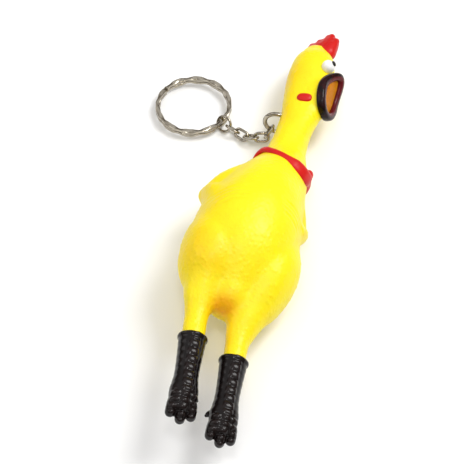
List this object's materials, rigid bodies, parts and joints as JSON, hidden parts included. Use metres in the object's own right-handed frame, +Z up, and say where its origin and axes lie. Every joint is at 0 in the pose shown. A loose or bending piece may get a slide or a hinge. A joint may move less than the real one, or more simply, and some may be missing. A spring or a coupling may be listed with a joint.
{
  "type": "squeaking rubber chicken key chain",
  "caption": "Hollow soft-vinyl rubber chicken lying on its back with open beak, collar and dark boots, hung by a ring through its nape on a link chain and split key ring.",
  "frame": {"origin": "the middle of the object's box, on the surface it lies on", "axes": "+Z up; +Y along the chicken from its boots to its comb; +X to the side that the belly and the beak are rolled towards"},
  "size_m": [0.065, 0.169, 0.0332],
  "materials": {
    "yellow_vinyl": "glossy soft vinyl",
    "red_paint": "glossy paint on vinyl",
    "maroon_paint": "glossy paint on vinyl",
    "white_paint": "glossy paint on vinyl",
    "black_paint": "glossy paint on vinyl",
    "boot_paint": "glossy dark brown paint on vinyl",
    "squeaker_plastic": "moulded",
    "reed_metal": "thin sheet",
    "nickel": "bright nickel plate"
  },
  "bodies": {
    "torso": {"torso_shell": "yellow_vinyl", "collar": "red_paint", "collar_knot": "red_paint"},
    "belly": {"belly_panel": "yellow_vinyl"},
    "neck": {"neck_shell": "yellow_vinyl", "squeaker_case": "squeaker_plastic", "reed_channel": "squeaker_plastic", "reed": "reed_metal"},
    "head": {"head_shell": "yellow_vinyl", "mouth_rim": "maroon_paint", "comb": "red_paint", "left_eye": "white_paint", "left_pupil": "black_paint", "left_ear_lobe": "red_paint", "right_eye": "white_paint", "right_pupil": "black_paint", "right_ear_lobe": "red_paint"},
    "left_leg": {"left_shank": "yellow_vinyl", "left_boot": "boot_paint"},
    "right_leg": {"right_shank": "yellow_vinyl", "right_boot": "boot_paint"},
    "neck_ring": {"neck_ring": "nickel"},
    "chain_link_1": {"chain_link_1": "nickel"},
    "chain_link_2": {"chain_link_2": "nickel"},
    "chain_link_3": {"chain_link_3": "nickel"},
    "chain_link_4": {"chain_link_4": "nickel"},
    "chain_link_5": {"chain_link_5": "nickel"},
    "connector_ring": {"connector_ring": "nickel"},
    "key_ring": {"key_ring": "nickel"}
  },
  "joints": [
    {"name": "belly_squeeze", "type": "slide", "parent": "torso", "child": "belly", "axis": [-0.3256, 0, -0.9455], "range_m": [0, 0.007], "stiffness_N_per_m": 200},
    {"name": "neck_bend", "type": "hinge", "parent": "torso", "child": "neck", "pos_m": [0.01837, 0.02239, 0.0133], "axis": [0.9455, 0, -0.3256], "range_deg": [-25, 25], "stiffness_Nm_per_rad": 0.5},
    {"name": "head_turn", "type": "hinge", "parent": "neck", "child": "head", "pos_m": [0.01837, 0.03538, 0.01285], "axis": [0, 0.9994, -0.0349], "range_deg": [-30, 30], "stiffness_Nm_per_rad": 0.3},
    {"name": "left_knee", "type": "hinge", "parent": "torso", "child": "left_leg", "pos_m": [0.01892, -0.04711, 0.01364], "axis": [0.9432, 0.0698, -0.3248], "range_deg": [-25, 25], "stiffness_Nm_per_rad": 0.3},
    {"name": "right_knee", "type": "hinge", "parent": "torso", "child": "right_leg", "pos_m": [0.00568, -0.04461, 0.0182], "axis": [0.9403, 0.1045, -0.3238], "range_deg": [-25, 25], "stiffness_Nm_per_rad": 0.3},
    {"name": "neck_ring_swing", "type": "hinge", "parent": "head", "child": "neck_ring", "pos_m": [0.01355, 0.04101, 0.0107], "axis": [0.3746, -0.0324, -0.9266], "range_deg": [-14, 14]},
    {"name": "chain_link_1_swing", "type": "hinge", "parent": "neck_ring", "child": "chain_link_1", "pos_m": [0.01013, 0.04086, 0.0065], "axis": [0.8648, -0.0697, -0.4972], "range_deg": [-25, 25]},
    {"name": "chain_link_2_swing", "type": "hinge", "parent": "chain_link_1", "child": "chain_link_2", "pos_m": [0.00848, 0.03929, 0.00384], "axis": [0.1247, -0.886, 0.4465], "range_deg": [-25, 25]},
    {"name": "chain_link_3_swing", "type": "hinge", "parent": "chain_link_2", "child": "chain_link_3", "pos_m": [0.00481, 0.0386, 0.00349], "axis": [-0.1693, 0.4559, 0.8738], "range_deg": [-25, 25]},
    {"name": "chain_link_4_swing", "type": "hinge", "parent": "chain_link_3", "child": "chain_link_4", "pos_m": [0.00124, 0.03918, 0.0025], "axis": [0.2896, 0.7401, -0.6069], "range_deg": [-25, 25]},
    {"name": "chain_link_5_swing", "type": "hinge", "parent": "chain_link_4", "child": "chain_link_5", "pos_m": [-0.00218, 0.04071, 0.00273], "axis": [-0.3395, -0.6552, -0.6749], "range_deg": [-25, 25]},
    {"name": "connector_ring_swing", "type": "hinge", "parent": "chain_link_5", "child": "connector_ring", "pos_m": [-0.00554, 0.04236, 0.00282], "axis": [-0.3727, -0.7862, 0.4929], "range_deg": [-25, 25]},
    {"name": "key_ring_swing", "type": "hinge", "parent": "connector_ring", "child": "key_ring", "pos_m": [-0.00925, 0.0441, 0.0028], "axis": [-0.0093, -0.0047, 0.9999], "range_deg": [-25, 25]}
  ]
}
